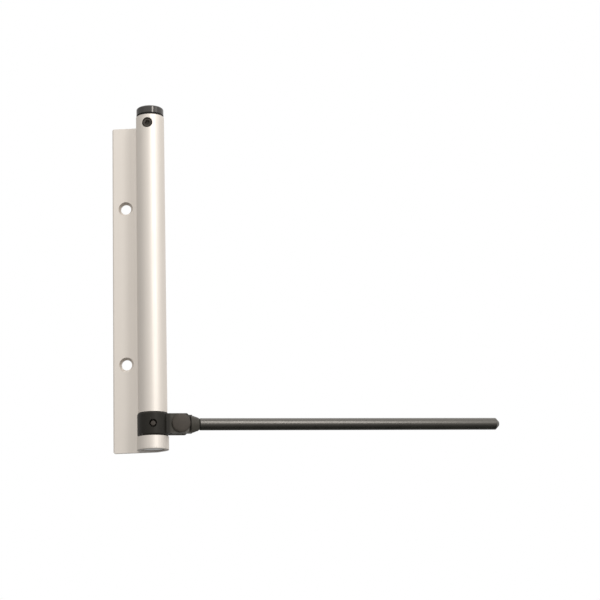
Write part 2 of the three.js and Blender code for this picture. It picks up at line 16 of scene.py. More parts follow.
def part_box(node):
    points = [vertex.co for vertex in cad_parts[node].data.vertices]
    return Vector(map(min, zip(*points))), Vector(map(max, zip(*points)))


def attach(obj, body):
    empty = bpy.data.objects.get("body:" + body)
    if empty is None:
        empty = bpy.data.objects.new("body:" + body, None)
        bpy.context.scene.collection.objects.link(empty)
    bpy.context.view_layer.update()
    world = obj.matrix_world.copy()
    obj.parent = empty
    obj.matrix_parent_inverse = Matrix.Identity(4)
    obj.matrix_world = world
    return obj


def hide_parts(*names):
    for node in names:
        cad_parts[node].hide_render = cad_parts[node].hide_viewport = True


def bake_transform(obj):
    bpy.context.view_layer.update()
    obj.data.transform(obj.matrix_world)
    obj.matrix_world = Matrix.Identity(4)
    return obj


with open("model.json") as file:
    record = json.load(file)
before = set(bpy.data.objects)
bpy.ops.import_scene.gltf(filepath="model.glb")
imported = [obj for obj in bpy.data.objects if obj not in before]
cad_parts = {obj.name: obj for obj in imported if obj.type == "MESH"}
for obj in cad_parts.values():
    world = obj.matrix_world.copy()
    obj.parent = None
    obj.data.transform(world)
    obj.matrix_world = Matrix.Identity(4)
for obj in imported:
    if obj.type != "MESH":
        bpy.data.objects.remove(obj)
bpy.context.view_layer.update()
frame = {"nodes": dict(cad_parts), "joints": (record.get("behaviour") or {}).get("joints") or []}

# ---- Sizes, in millimetres, as the CAD has them --------------------------------------------------

MM = 0.001
GAP = 0.3
BEYOND = 1.0

BODY_LENGTH = 227.0
TUBE_RADIUS = 9.5
BORE_RADIUS = 7.6
BARREL_RADIUS = BORE_RADIUS - GAP
AXIS_DEPTH = 16.0
FLANGE_LEFT = -28.3
FLANGE_FRONT = AXIS_DEPTH - 2.6
FLANGE_LOW = 0.5
FLANGE_TOP = 225.2
FLANGE_CORNER = 1.5
FLANGE_ROUND = 1.2
FILLET = 4.0
BACK_CORNER = (-1.5, 10.0)
BACK_CORNER_RADIUS = 6.0
SCREW_HOLE_X = -19.2
SCREW_HOLE_SPACING = 108.0
SCREW_HOLE_RADIUS = 3.5
COUNTERSINK_RADIUS = 4.9

HUB_CENTRE = 16.3
HUB_HEIGHT = 15.0
HUB_RADIUS = 10.1
HUB_ROUND = 1.2
HUB_PIN_BEARING = math.radians(-5)
HUB_PIN_DOME = 0.5
PIN_SINK_WIDTH = 1.7
PIN_SINK_DEPTH = 1.2
WINDOW_LOW = HUB_CENTRE - HUB_HEIGHT / 2 - GAP
WINDOW_HIGH = HUB_CENTRE + HUB_HEIGHT / 2 + GAP
WINDOW_RADIUS = 10.7
WINDOW_SIDE = 14.0
WINDOW_BACK = 7.6
FOOT_RADIUS = 10.3

ARM_HEIGHT = 16.8
FORK_HALF_WIDTH = 6.0
FORK_HALF_HEIGHT = 6.4
FORK_END = 23.1
FORK_CORNER = (1.3, 1.5)
FORK_ROUND = 0.8
FORK_FLOOR = 10.6
SLOT_HALF_WIDTH = 3.6
PIVOT_X = 17.7
PIVOT_RADIUS = 3.0
PIVOT_HEAD_RADIUS = 6.05
PIVOT_HEAD_HEIGHT = 1.9
PIVOT_CROWN = ((0, 0), (2.5, 0.03), (4.4, 0.13))
PIVOT_SHOULDER = ((5.2, 0.24), (PIVOT_HEAD_RADIUS, 0.42), (PIVOT_HEAD_RADIUS, 1.1))
PIVOT_SEAT_ROUND = 0.3
PIVOT_REACH = 11.6
WASHER_RADIUS = 5.6
WASHER_ROUND = 0.16
NUT_WASHER_THICKNESS = 0.8
FRICTION_WASHER_THICKNESS = 0.7
NUT_RADIUS = 5.75
NUT_HEIGHT = 3.2
NUT_CORNER = 0.15
NUT_CHAMFER = 0.6
NUT_LEAD = 0.4
THREAD_PITCH = 0.5

TONGUE_HALF_WIDTH = 2.3
TONGUE_HALF_HEIGHT = 5.9
TONGUE_STOP = 5.3
TONGUE_SLOPE = 0.6
NECK_START = 24.4
NECK_END = 30.1
NECK_WIDE = 6.15
NECK_NARROW = 4.25
NECK_CHAMFER = 0.4
NECK_ROUND = 0.4

ROD_RADIUS = 4.0
ROD_END = 235.5
ROD_CHAMFER = 2.4
ROD_START_CHAMFER = 0.35
ROD_ROUND = 0.3
SPIGOT_RADIUS = 2.5
SPIGOT_LENGTH = 13.0
SPIGOT_CHAMFER = 0.4

SPINDLE_RADIUS = 4.5
PIN_RADIUS = 1.7
CAP_RADIUS = 9.2
CAP_TOP = 233.5
CAP_HEAD_LOW = 228.3
CAP_BARREL_LOW = 213.0
CAP_KEY_RADIUS = 4.0
CAP_KEY_DEPTH = 3.5
CAP_RIM = 0.7
CAP_DISH_RADIUS = 6.2
CAP_DISH_FLOOR_RADIUS = 6.0
CAP_DISH_DEPTH = 0.5
CAP_ROUND = 0.35
LOCK_HEIGHT = 221.0
LOCK_BEARING = math.radians(-4)
LOCK_RADIUS = 3.25
LOCK_FACE = TUBE_RADIUS - 0.4
LOCK_POINT_RADIUS = 2.45
LOCK_GROOVE_RADIUS = 5.9
LOCK_GROOVE_HALF = LOCK_RADIUS + 0.5
LOCK_KEY_RADIUS = 1.75
LOCK_KEY_DEPTH = 1.4
LOCK_LEAD = 0.25
LOCK_POINT_LEAD = 0.2

WIRE_RADIUS = 1.2
COIL_RADIUS = 5.4
COIL_LOW = 48.8
COIL_HIGH = 207.5
COIL_TURNS = 24
TANG_SHARE = 0.025
TANG_CURVE = 0.6
TANG_BEND = 1.2
TANG_RISE = 5.0
TANG_STRAIGHT = 4.4

# Sides to a full turn, from the largest rounds to the smallest.
SIDES_TUBE = 128
SIDES_HEAD = 112
SIDES_ROUND = 96
SIDES_HUB_BORE = 80
SIDES_WASHER = 72
SIDES_HOLE = 64
SIDES_PIN = 48
SIDES_WIRE = 14
SIDES_HEX = 6
STEPS_PER_COIL = 28

# Tolerances: what counts as on the axis, and how close points are before they become one.
ON_AXIS = 1e-6
WELD = 1e-5
BEVEL_WELD = 2e-3
BEVEL_DISSOLVE = 1e-3
CORNER_SHARE = 0.45

# The two local frames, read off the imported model.
cap_low, cap_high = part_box("tension_cap")
housing_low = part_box("housing")[0]
AXIS = Vector(((cap_low.x + cap_high.x) / 2, (cap_low.y + cap_high.y) / 2, housing_low.z))
swing = next(joint for joint in frame["joints"] if joint["name"] == "arm_swing")
tilt = next(joint for joint in frame["joints"] if joint["name"] == "arm_tilt")
ALONG_ARM = Vector(tilt["pos_m"]) - Vector(swing["pos_m"])
BODY = Matrix.Translation(AXIS) @ Matrix.Scale(MM, 4)
ARM = (Matrix.Translation(Vector(swing["pos_m"]))
       @ Matrix.Rotation(math.atan2(ALONG_ARM.y, ALONG_ARM.x), 4, "Z")
       @ Matrix.Scale(MM, 4))
ALONG_Y = Matrix.Rotation(math.radians(-90), 4, "X")
ALONG_X = Matrix.Rotation(math.radians(90), 4, "Y")

# ---- Outlines: lists of (x, y) or (radius, z) ----------------------------------------------------


def arc(centre, radius, start, end, steps):
    """Points round a circle, from the angle start to the angle end, in radians."""
    angles = [start + (end - start) * i / steps for i in range(steps + 1)]
    return [(centre[0] + radius * math.cos(a), centre[1] + radius * math.sin(a)) for a in angles]


def quadratic(first, control, last, steps):
    """Points on a quadratic curve."""
    points = []
    for i in range(steps + 1):
        t = i / steps
        a, b, c = (1 - t) ** 2, 2 * t * (1 - t), t * t
        points.append(tuple(a * p + b * q + c * r for p, q, r in zip(first, control, last)))
    return points


def rounded(points, radius, steps=4, closed=True, only=None):
    """The outline with its corners rounded; only names the corners by number, or None for all."""
    result = []
    count = len(points)
    for i, corner in enumerate(points):
        at_end = not closed and i in (0, count - 1)
        if at_end or (only is not None and i not in only):
            result.append(corner)
            continue
        here = Vector(corner)
        back = Vector(points[i - 1]) - here
        ahead = Vector(points[(i + 1) % count]) - here
        reach = min(radius, back.length * CORNER_SHARE, ahead.length * CORNER_SHARE)
        start = here + back.normalized() * reach
        end = here + ahead.normalized() * reach
        result += quadratic(tuple(start), corner, tuple(end), steps)
    return result


def mirrored(upper):
    """An outline that is the same above and below the first axis, from its upper half."""
    return [(x, -z) for x, z in upper] + upper[::-1]


def section_outline(radius):
    """The extrusion's section without its bore, with a tube of the given radius."""
    distance = math.hypot(*BACK_CORNER)
    bearing = math.atan2(BACK_CORNER[1], BACK_CORNER[0])
    flank = bearing - math.acos((radius - BACK_CORNER_RADIUS) / distance)
    side = (-radius, FLANGE_FRONT - FILLET)
    edge = (FLANGE_LEFT, FLANGE_FRONT + FLANGE_ROUND)
    outline = [(FLANGE_LEFT, AXIS_DEPTH)]
    outline += arc(BACK_CORNER, BACK_CORNER_RADIUS, math.pi / 2, flank, steps=20)
    outline += arc((0, 0), radius, flank, -math.pi, SIDES_ROUND)
    outline += quadratic(side, (-radius, FLANGE_FRONT), (-radius - FILLET, FLANGE_FRONT), steps=16)
    outline += quadratic((FLANGE_LEFT + FLANGE_ROUND, FLANGE_FRONT), (FLANGE_LEFT, FLANGE_FRONT),
                         edge, steps=8)
    return outline


# ---- Mesh makers ---------------------------------------------------------------------------------


def to_object(name, mesh_data):
    """A mesh object from a bmesh, which is freed."""
    bmesh.ops.remove_doubles(mesh_data, verts=mesh_data.verts, dist=WELD)
    bmesh.ops.recalc_face_normals(mesh_data, faces=mesh_data.faces)
    mesh = bpy.data.meshes.new(name)
    mesh_data.to_mesh(mesh)
    mesh_data.free()
    made = bpy.data.objects.new(name, mesh)
    bpy.context.scene.collection.objects.link(made)
    return made


def extruded(name, outline, low, high):
    """A solid with an outline in X and Y, between two heights."""
    solid = bmesh.new()
    base = [solid.verts.new((x, y, low)) for x, y in outline]
    bottom = solid.faces.new(base)
    top = bmesh.ops.extrude_face_region(solid, geom=[bottom])["geom"]
    moved = [item for item in top if isinstance(item, bmesh.types.BMVert)]
    bmesh.ops.translate(solid, verts=moved, vec=(0, 0, high - low))
    return to_object(name, solid)


def slab(name, outline, low, high):
    """A solid with an outline in X and Z, between two values of Y."""
    made = extruded(name, outline, -high, -low)
    made.data.transform(Matrix.Rotation(math.radians(90), 4, "X"))
    return made


def box(name, x, y, z):
    """A rectangular block between pairs of limits."""
    outline = [(x[0], y[0]), (x[1], y[0]), (x[1], y[1]), (x[0], y[1])]
    return extruded(name, outline, *z)


def turned(name, profile, segments=SIDES_ROUND, closed=False):
    """A round solid about Z. The profile starts and ends on the axis, unless it is closed."""
    solid = bmesh.new()
    rings = []
    for radius, z in profile:
        if radius < ON_AXIS:
            rings.append([solid.verts.new((0, 0, z))])
            continue
        angles = [2 * math.pi * i / segments for i in range(segments)]
        rings.append([solid.verts.new((radius * math.cos(a), radius * math.sin(a), z)) for a in angles])
    pairs = list(zip(rings, rings[1:]))
    if closed:
        pairs.append((rings[-1], rings[0]))
    for lower, upper in pairs:
        for i in range(segments):
            j = (i + 1) % segments
            corners = [lower[i % len(lower)], lower[j % len(lower)],
                       upper[j % len(upper)], upper[i % len(upper)]]
            distinct = list(dict.fromkeys(corners))
            if len(distinct) > 2:
                solid.faces.new(distinct)
    return to_object(name, solid)


def rod(name, radius, low, high, segments=SIDES_HOLE):
    """A plain round bar about Z, used for cutting."""
    return turned(name, [(0, low), (radius, low), (radius, high), (0, high)], segments)


def hex_rod(name, radius, low, high):
    """A plain hexagonal bar about Z."""
    return rod(name, radius, low, high, SIDES_HEX)


def shifted(made, matrix):
    """The object with its mesh moved by a matrix."""
    made.data.transform(matrix)
    return made


def along_y(made, x=0.0, z=0.0):
    """Lays a solid drawn about Z along +Y, at the given X and Z."""
    return shifted(made, Matrix.Translation((x, 0, z)) @ ALONG_Y)


def settle(made):
    """Applies the object's modifiers to its mesh."""
    graph = bpy.context.evaluated_depsgraph_get()
    mesh = bpy.data.meshes.new_from_object(made.evaluated_get(graph))
    made.modifiers.clear()
    made.data = mesh
    return made


def combine(made, other, operation):
    """Joins, cuts or intersects made with other, which is removed."""
    modifier = made.modifiers.new("combine", "BOOLEAN")
    modifier.operation = operation
    modifier.solver = "EXACT"
    modifier.object = other
    bpy.context.view_layer.update()
    settle(made)
    bpy.data.objects.remove(other)
    return made


def bevelled(made, width, segments=2, angle=32):
    """Rounds the sharp edges of a solid."""
    clean = bmesh.new()
    clean.from_mesh(made.data)
    bmesh.ops.remove_doubles(clean, verts=clean.verts, dist=BEVEL_WELD)
    bmesh.ops.dissolve_degenerate(clean, edges=clean.edges, dist=BEVEL_DISSOLVE)
    clean.to_mesh(made.data)
    clean.free()
    modifier = made.modifiers.new("bevel", "BEVEL")
    modifier.width = width
    modifier.segments = segments
    modifier.limit_method = "ANGLE"
    modifier.angle_limit = math.radians(angle)
    modifier.miter_outer = "MITER_ARC"
    bpy.context.view_layer.update()
    return settle(made)


def smooth(made, angle=40):
    """Shades a mesh smooth but for its sharp edges, with flat faces kept flat."""
    mesh = made.data
    mesh.polygons.foreach_set("use_smooth", [True] * len(mesh.polygons))
    mesh.set_sharp_from_angle(angle=math.radians(angle))
    modifier = made.modifiers.new("normals", "WEIGHTED_NORMAL")
    modifier.keep_sharp = True
    modifier.weight = 60
    return made


def finish_piece(made, place, body, material, replaced=()):
    """Places a piece in the row frame and gives it its body, finish and the CAD nodes it replaces.

    A piece given no body is left unattached.
    """
    made.data.transform(place)
    made.data.materials.clear()
    made.data.materials.append(material)
    smooth(made)
    if body:
        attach(made, body)
    if replaced:
        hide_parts(*replaced)
    return made


# ---- Materials -----------------------------------------------------------------------------------


class Finish:
    """A node material in the making: a Principled shader and short calls for what feeds it."""

    def __init__(self, name):
        self.material = bpy.data.materials.new(name)
        self.material.use_nodes = True
        self.nodes = self.material.node_tree.nodes
        self.links = self.material.node_tree.links
        self.shader = self.nodes["Principled BSDF"]
        self.place = self.nodes.new("ShaderNodeTexCoord").outputs["Object"]

    def set(self, values):
        """Numbers that are the same all over, by the shader's names for them."""
        for name, value in values.items():
            self.shader.inputs[name].default_value = value

    def mapped(self, setting, values, place=None):
        """The place with a Scale or a Rotation, as setting says, for each axis."""
        mapping = self.nodes.new("ShaderNodeMapping")
        mapping.inputs[setting].default_value = values
        self.links.new(place or self.place, mapping.inputs["Vector"])
        return mapping.outputs["Vector"]

    def noise(self, scale, detail=4.0, roughness=0.55, place=None):
        """Noise from 0 to 1 at a number of features a metre."""
        node = self.nodes.new("ShaderNodeTexNoise")
        node.inputs["Scale"].default_value = scale
        node.inputs["Detail"].default_value = detail
        node.inputs["Roughness"].default_value = roughness
        self.links.new(place or self.place, node.inputs["Vector"])
        return node.outputs["Fac"]

    def remap(self, value, low, high, out_low, out_high):
        """A value moved from one range to another, and kept inside it."""
        node = self.nodes.new("ShaderNodeMapRange")
        for name, number in zip(("From Min", "From Max", "To Min", "To Max"),
                                (low, high, out_low, out_high)):
            node.inputs[name].default_value = number
        self.links.new(value, node.inputs["Value"])
        return node.outputs["Result"]

    def spread(self, noise, out_low, out_high):
        """The middle of a noise's range, where nearly all of it lies, moved to another range."""
        return self.remap(noise, 0.3, 0.7, out_low, out_high)

    def maths(self, operation, first, second):
        """An arithmetic node."""
        node = self.nodes.new("ShaderNodeMath")
        node.operation = operation
        for socket, value in zip(node.inputs, (first, second)):
            if isinstance(value, (int, float)):
                socket.default_value = value
            else:
                self.links.new(value, socket)
        return node.outputs["Value"]

    def mix(self, factor, first, second):
        """A colour between two."""
        node = self.nodes.new("ShaderNodeMix")
        node.data_type = "RGBA"
        self.links.new(factor, node.inputs["Factor"])
        for socket, value in ((node.inputs["A"], first), (node.inputs["B"], second)):
            if isinstance(value, tuple):
                socket.default_value = (*value, 1)
            else:
                self.links.new(value, socket)
        return node.outputs["Result"]

    def edges(self, low=0.53, high=0.6):
        """1 on convex edges and 0 elsewhere."""
        pointiness = self.nodes.new("ShaderNodeNewGeometry").outputs["Pointiness"]
        return self.remap(pointiness, low, high, 0, 1)

    def along_arm(self, low, high):
        """0 up to a distance in millimetres out along the arm, and 1 from another."""
        along = ALONG_ARM.normalized()
        reach = self.nodes.new("ShaderNodeVectorMath")
        reach.operation = "DOT_PRODUCT"
        reach.inputs[1].default_value = along
        self.links.new(self.place, reach.inputs[0])
        start = AXIS.dot(along)
        return self.remap(reach.outputs["Value"], start + low * MM, start + high * MM, 0, 1)

    def colour(self, value):
        self.links.new(value, self.shader.inputs["Base Color"])

    def roughness(self, value):
        self.links.new(value, self.shader.inputs["Roughness"])

    def bump(self, height, distance, strength=1.0):
        """Surface relief: height times distance, in metres."""
        node = self.nodes.new("ShaderNodeBump")
        node.inputs["Strength"].default_value = strength
        node.inputs["Distance"].default_value = distance
        self.links.new(height, node.inputs["Height"])
        self.links.new(node.outputs["Normal"], self.shader.inputs["Normal"])


WARM_GLOSS = (1.0, 0.94, 0.86, 1)
WORN_ALUMINIUM = (0.82, 0.79, 0.74)
RUBBED_STEEL = (0.16, 0.15, 0.14)

# Lines left by drawing or turning: features a metre along each axis.
EXTRUSION_LINES = (1500, 1500, 6)
BAR_LINES = (12, 1700, 1700)
TURNING_LINES = (200, 200, 2600)
TOOL_MARKS = (900, 900, 900)

# Where the collar's colour gives way to the lighter colour of the ear and beyond, a painted highlight,
# in millimetres out along the arm.
EAR_FROM, EAR_TO = 9.8, 11.5


def satin_aluminium():
    """Satin anodised extrusion: warm silver, with faint die lines along its length."""
    f = Finish("satin_aluminium")
    f.set({"Metallic": 1.0})
    lines = f.noise(scale=1.0, detail=3.0, place=f.mapped("Scale", EXTRUSION_LINES))
    bloom = f.noise(scale=38, detail=3.0)
    grain = f.noise(scale=5200, detail=2.0)
    tone = f.mix(f.spread(bloom, 0, 1), (0.66, 0.585, 0.52), (0.70, 0.625, 0.56))
    worn = f.maths("MULTIPLY", f.edges(), 0.5)
    f.colour(f.mix(worn, tone, WORN_ALUMINIUM))
    base = f.remap(lines, 0.25, 0.75, 0.48, 0.56)
    f.roughness(f.maths("ADD", base, f.spread(bloom, -0.02, 0.03)))
    relief = f.maths("ADD", lines, f.maths("MULTIPLY", grain, 0.35))
    f.bump(relief, distance=1.2e-5, strength=0.6)
    return f.material


def coated_steel(name, dark, light, rough, ear_painted_highlight=None):
    """Black coated steel with slight orange peel and rubbed edges, and a lighter painted highlight from
    the ear outwards along the arm.
    """
    f = Finish(name)
    f.set({"Specular IOR Level": 0.28, "Specular Tint": WARM_GLOSS})
    cloud = f.noise(scale=90)
    peel = f.noise(scale=1400, detail=3.0)
    rubbed = f.maths("MULTIPLY", f.edges(), f.remap(f.noise(scale=700, detail=5.0), 0.4, 0.62, 0, 0.5))
    tone = f.mix(f.spread(cloud, 0, 1), dark, light)
    # Painted highlight: from the ear outwards the coating is coloured lighter than on the collar, for
    # the light that falls on the ear and neck.
    if ear_painted_highlight:
        tone = f.mix(f.along_arm(EAR_FROM, EAR_TO), tone, ear_painted_highlight)
    f.colour(f.mix(rubbed, tone, RUBBED_STEEL))
    f.roughness(f.spread(cloud, rough - 0.03, rough + 0.05))
    f.bump(peel, distance=2e-5, strength=0.5)
    return f.material


def coated_bar():
    """Semi-gloss black round bar, with draw lines along it."""
    f = Finish("coated_bar")
    f.set({"IOR": 1.8, "Specular IOR Level": 0.62, "Specular Tint": WARM_GLOSS})
    along = f.mapped("Rotation", (0, 0, -math.atan2(ALONG_ARM.y, ALONG_ARM.x)))
    lines = f.noise(scale=1.0, detail=3.0, place=f.mapped("Scale", BAR_LINES, along))
    cloud = f.noise(scale=60)
    f.colour(f.mix(f.spread(cloud, 0, 1), (0.004, 0.0042, 0.003), (0.009, 0.0092, 0.0075)))
    f.roughness(f.maths("ADD", f.spread(lines, 0.22, 0.3), f.spread(cloud, 0, 0.05)))
    f.bump(lines, distance=5e-6, strength=0.5)
    return f.material


def moulded_plastic(name, dark, light, rough, gloss=0.5):
    """Moulded plastic with a very fine texture."""
    f = Finish(name)
    f.set({"Specular IOR Level": gloss, "Specular Tint": WARM_GLOSS})
    cloud = f.noise(scale=130)
    grain = f.noise(scale=3800, detail=2.0)
    f.colour(f.mix(f.spread(cloud, 0, 1), dark, light))
    f.roughness(f.spread(cloud, rough - 0.03, rough + 0.05))
    f.bump(grain, distance=8e-6, strength=0.5)
    return f.material


def bare_metal(name, dark, light, rough, lines=TOOL_MARKS):
    """Uncoated metal with tool marks."""
    f = Finish(name)
    f.set({"Metallic": 1.0})
    marks = f.noise(scale=1.0, detail=3.0, place=f.mapped("Scale", lines))
    cloud = f.noise(scale=160)
    f.colour(f.mix(f.spread(cloud, 0, 1), dark, light))
    f.roughness(f.spread(marks, rough - 0.05, rough + 0.08))
    f.bump(marks, distance=1e-5, strength=0.5)
    return f.material


ALUMINIUM = satin_aluminium()
# The hub coating is coloured lighter from the ear outwards, a painted highlight.
HUB_BLACK = coated_steel("hub_coating", dark=(0.006, 0.0055, 0.0045), light=(0.011, 0.010, 0.008),
                         rough=0.43, ear_painted_highlight=(0.038, 0.035, 0.029))
SCREW_BLACK = coated_steel("screw_oxide", dark=(0.030, 0.025, 0.021), light=(0.044, 0.037, 0.031),
                           rough=0.42)
BAR_BLACK = coated_bar()
CAP_BLACK = moulded_plastic("cap_gloss", dark=(0.010, 0.010, 0.011), light=(0.016, 0.016, 0.017),
                            rough=0.13, gloss=0.85)
WASHER_BLACK = moulded_plastic("washer_matt", dark=(0.008, 0.008, 0.008), light=(0.014, 0.014, 0.014),
                               rough=0.6)
NYLON = moulded_plastic("natural_nylon", dark=(0.62, 0.6, 0.52), light=(0.7, 0.68, 0.6), rough=0.45)
BRIGHT_STEEL = bare_metal("turned_steel", dark=(0.4, 0.4, 0.39), light=(0.5, 0.5, 0.49), rough=0.28,
                          lines=TURNING_LINES)
SPRING_STEEL = bare_metal("spring_wire", dark=(0.09, 0.09, 0.1), light=(0.15, 0.15, 0.16), rough=0.35)
BRONZE = bare_metal("sintered_bronze", dark=(0.36, 0.23, 0.1), light=(0.46, 0.31, 0.14), rough=0.45)


# ---- Housing -------------------------------------------------------------------------------------


def screw_hole(z):
    """The cutter of a countersunk hole."""
    front = FLANGE_FRONT - BEYOND
    seat = FLANGE_FRONT + COUNTERSINK_RADIUS - SCREW_HOLE_RADIUS
    back = AXIS_DEPTH + BEYOND
    profile = [(0, front), (COUNTERSINK_RADIUS + BEYOND, front), (SCREW_HOLE_RADIUS, seat),
               (SCREW_HOLE_RADIUS, back), (0, back)]
    return along_y(turned("hole_cut", profile, SIDES_WASHER), SCREW_HOLE_X, z)


def front_outline():
    """The flange from the front, in X and Z, with its free corners rounded."""
    points = [(FLANGE_LEFT, FLANGE_LOW), (WINDOW_SIDE, FLANGE_LOW),
              (WINDOW_SIDE, FLANGE_TOP), (FLANGE_LEFT, FLANGE_TOP)]
    return rounded(points, FLANGE_CORNER, steps=6, only=(0, 3))


def towards_lock(made):
    """Lays a solid drawn about Z along the locking screw's axis: -Z becomes the way out."""
    return shifted(along_y(made, 0, LOCK_HEIGHT), Matrix.Rotation(LOCK_BEARING, 4, "Z"))


def make_housing():
    """The aluminium extrusion, sawn, drilled and milled."""
    made = extruded("housing_extrusion", section_outline(TUBE_RADIUS), WINDOW_LOW - BEYOND, FLANGE_TOP)
    combine(made, extruded("foot", section_outline(FOOT_RADIUS), 0, WINDOW_LOW), "UNION")
    combine(made, slab("front", front_outline(), -WINDOW_SIDE, AXIS_DEPTH + BEYOND), "INTERSECT")
    combine(made, rod("mouth", TUBE_RADIUS, FLANGE_TOP - BEYOND, BODY_LENGTH, SIDES_TUBE), "UNION")
    combine(made, rod("foot_end", FOOT_RADIUS, 0, FLANGE_LOW + BEYOND, SIDES_TUBE), "UNION")
    bore = rod("bore", BORE_RADIUS, -BEYOND, BODY_LENGTH + BEYOND, SIDES_ROUND)
    combine(made, bore, "DIFFERENCE")
    span = (WINDOW_LOW, WINDOW_HIGH)
    combine(made, rod("window_round", WINDOW_RADIUS, *span, SIDES_TUBE), "DIFFERENCE")
    sides = box("window_sides", (-WINDOW_SIDE, WINDOW_SIDE), (-WINDOW_SIDE, WINDOW_BACK), span)
    combine(made, sides, "DIFFERENCE")
    for side in (-1, 1):
        combine(made, screw_hole(BODY_LENGTH / 2 + side * SCREW_HOLE_SPACING / 2), "DIFFERENCE")
    lock_hole = rod("lock_cut", LOCK_RADIUS + GAP, -TUBE_RADIUS - BEYOND, 0)
    combine(made, towards_lock(lock_hole), "DIFFERENCE")
    bevelled(made, width=0.22)
    return finish_piece(made, BODY, "housing", ALUMINIUM, ["housing"])


# ---- Tension cap and its lock --------------------------------------------------------------------


def make_tension_cap():
    """The moulded cap: a head with a rounded rim, a barrel with a groove, and a key socket."""
    profile = [
        (0, CAP_BARREL_LOW), (BARREL_RADIUS, CAP_BARREL_LOW),
        (BARREL_RADIUS, LOCK_HEIGHT - LOCK_GROOVE_HALF),
        (LOCK_GROOVE_RADIUS, LOCK_HEIGHT - LOCK_GROOVE_HALF),
        (LOCK_GROOVE_RADIUS, LOCK_HEIGHT + LOCK_GROOVE_HALF),
        (BARREL_RADIUS, LOCK_HEIGHT + LOCK_GROOVE_HALF), (BARREL_RADIUS, CAP_HEAD_LOW),
        (CAP_RADIUS, CAP_HEAD_LOW), (CAP_RADIUS, CAP_TOP - CAP_RIM), (CAP_RADIUS - CAP_RIM, CAP_TOP),
        (CAP_DISH_RADIUS, CAP_TOP), (CAP_DISH_FLOOR_RADIUS, CAP_TOP - CAP_DISH_DEPTH),
        (0, CAP_TOP - CAP_DISH_DEPTH),
    ]
    profile = rounded(profile, CAP_ROUND, steps=3, closed=False)
    made = turned("tension_cap_moulding", profile, SIDES_TUBE)
    key = hex_rod("key", CAP_KEY_RADIUS, CAP_TOP - CAP_KEY_DEPTH, CAP_TOP + BEYOND)
    combine(made, key, "DIFFERENCE")
    bevelled(made, width=0.15, angle=50)
    return finish_piece(made, BODY, "tensioner", CAP_BLACK, ["tension_cap"])


def make_locking_screw():
    """The set screw: socket, thread and dog point."""
    shoulder = BORE_RADIUS + GAP / 2
    tip = LOCK_GROOVE_RADIUS + GAP
    core = LOCK_RADIUS - THREAD_PITCH / 2
    profile = [(0, -LOCK_FACE), (core - LOCK_LEAD, -LOCK_FACE), (core, -LOCK_FACE + LOCK_LEAD)]
    crest = -LOCK_FACE + THREAD_PITCH
    while crest < -shoulder - THREAD_PITCH / 2:
        profile += [(LOCK_RADIUS, crest), (core, crest + THREAD_PITCH / 2)]
        crest += THREAD_PITCH
    profile += [(core, -shoulder), (LOCK_POINT_RADIUS, -shoulder),
                (LOCK_POINT_RADIUS, -tip + LOCK_POINT_LEAD),
                (LOCK_POINT_RADIUS - LOCK_POINT_LEAD, -tip), (0, -tip)]
    made = turned("locking_screw_set", profile, SIDES_HOLE)
    socket = hex_rod("socket", LOCK_KEY_RADIUS, -LOCK_FACE - BEYOND, -LOCK_FACE + LOCK_KEY_DEPTH)
    combine(made, socket, "DIFFERENCE")
    bevelled(made, width=0.06, segments=1, angle=50)
    return finish_piece(towards_lock(made), BODY, "lock", SCREW_BLACK, ["locking_screw"])


# ---- Spring --------------------------------------------------------------------------------------


def spring_point(t):
    """The wire's centre line: whole turns, whose ends bend into straight axial tangs."""
    inner = min(max((t - TANG_SHARE) / (1 - 2 * TANG_SHARE), 0), 1)
    side = -1 if t < 0.5 else 1
    past = max(0, TANG_SHARE - min(t, 1 - t)) / TANG_SHARE
    turn = min(past / TANG_CURVE, 1) * math.pi / 2
    straight = max(past - TANG_CURVE, 0) / (1 - TANG_CURVE)
    angle = inner * COIL_TURNS * 2 * math.pi + side * math.sin(turn) * TANG_BEND
    climb = (1 - math.cos(turn)) * TANG_RISE + straight * TANG_STRAIGHT
    z = COIL_LOW + (COIL_HIGH - COIL_LOW) * inner + side * climb
    return Vector((COIL_RADIUS * math.cos(angle), COIL_RADIUS * math.sin(angle), z))


def make_spring():
    """The torsion spring: round wire swept along its centre line."""
    steps = COIL_TURNS * STEPS_PER_COIL
    solid = bmesh.new()
    across = Vector((1, 0, 0))
    rings = []
    for i in range(steps + 1):
        here = spring_point(i / steps)
        ahead = spring_point(min(i + 0.5, steps) / steps) - spring_point(max(i - 0.5, 0) / steps)
        ahead.normalize()
        across = (across - ahead * across.dot(ahead)).normalized()
        other = ahead.cross(across)
        angles = [2 * math.pi * k / SIDES_WIRE for k in range(SIDES_WIRE)]
        rings.append([solid.verts.new(here + (across * math.cos(a) + other * math.sin(a)) * WIRE_RADIUS)
                      for a in angles])
    for first, second in zip(rings, rings[1:]):
        for k in range(SIDES_WIRE):
            m = (k + 1) % SIDES_WIRE
            solid.faces.new((first[k], first[m], second[m], second[k]))
    solid.faces.new(rings[0][::-1])
    solid.faces.new(rings[-1])
    made = to_object("torsion_spring_wire", solid)
    finish_piece(made, BODY, None, SPRING_STEEL, ["torsion_spring"])
    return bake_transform(made)


# ---- Arm -----------------------------------------------------------------------------------------


def across_hub(made):
    """Lays a solid drawn about Z across the collar, along its pin."""
    return shifted(along_y(made, 0, HUB_CENTRE - ARM_HEIGHT), Matrix.Rotation(HUB_PIN_BEARING, 4, "Z"))


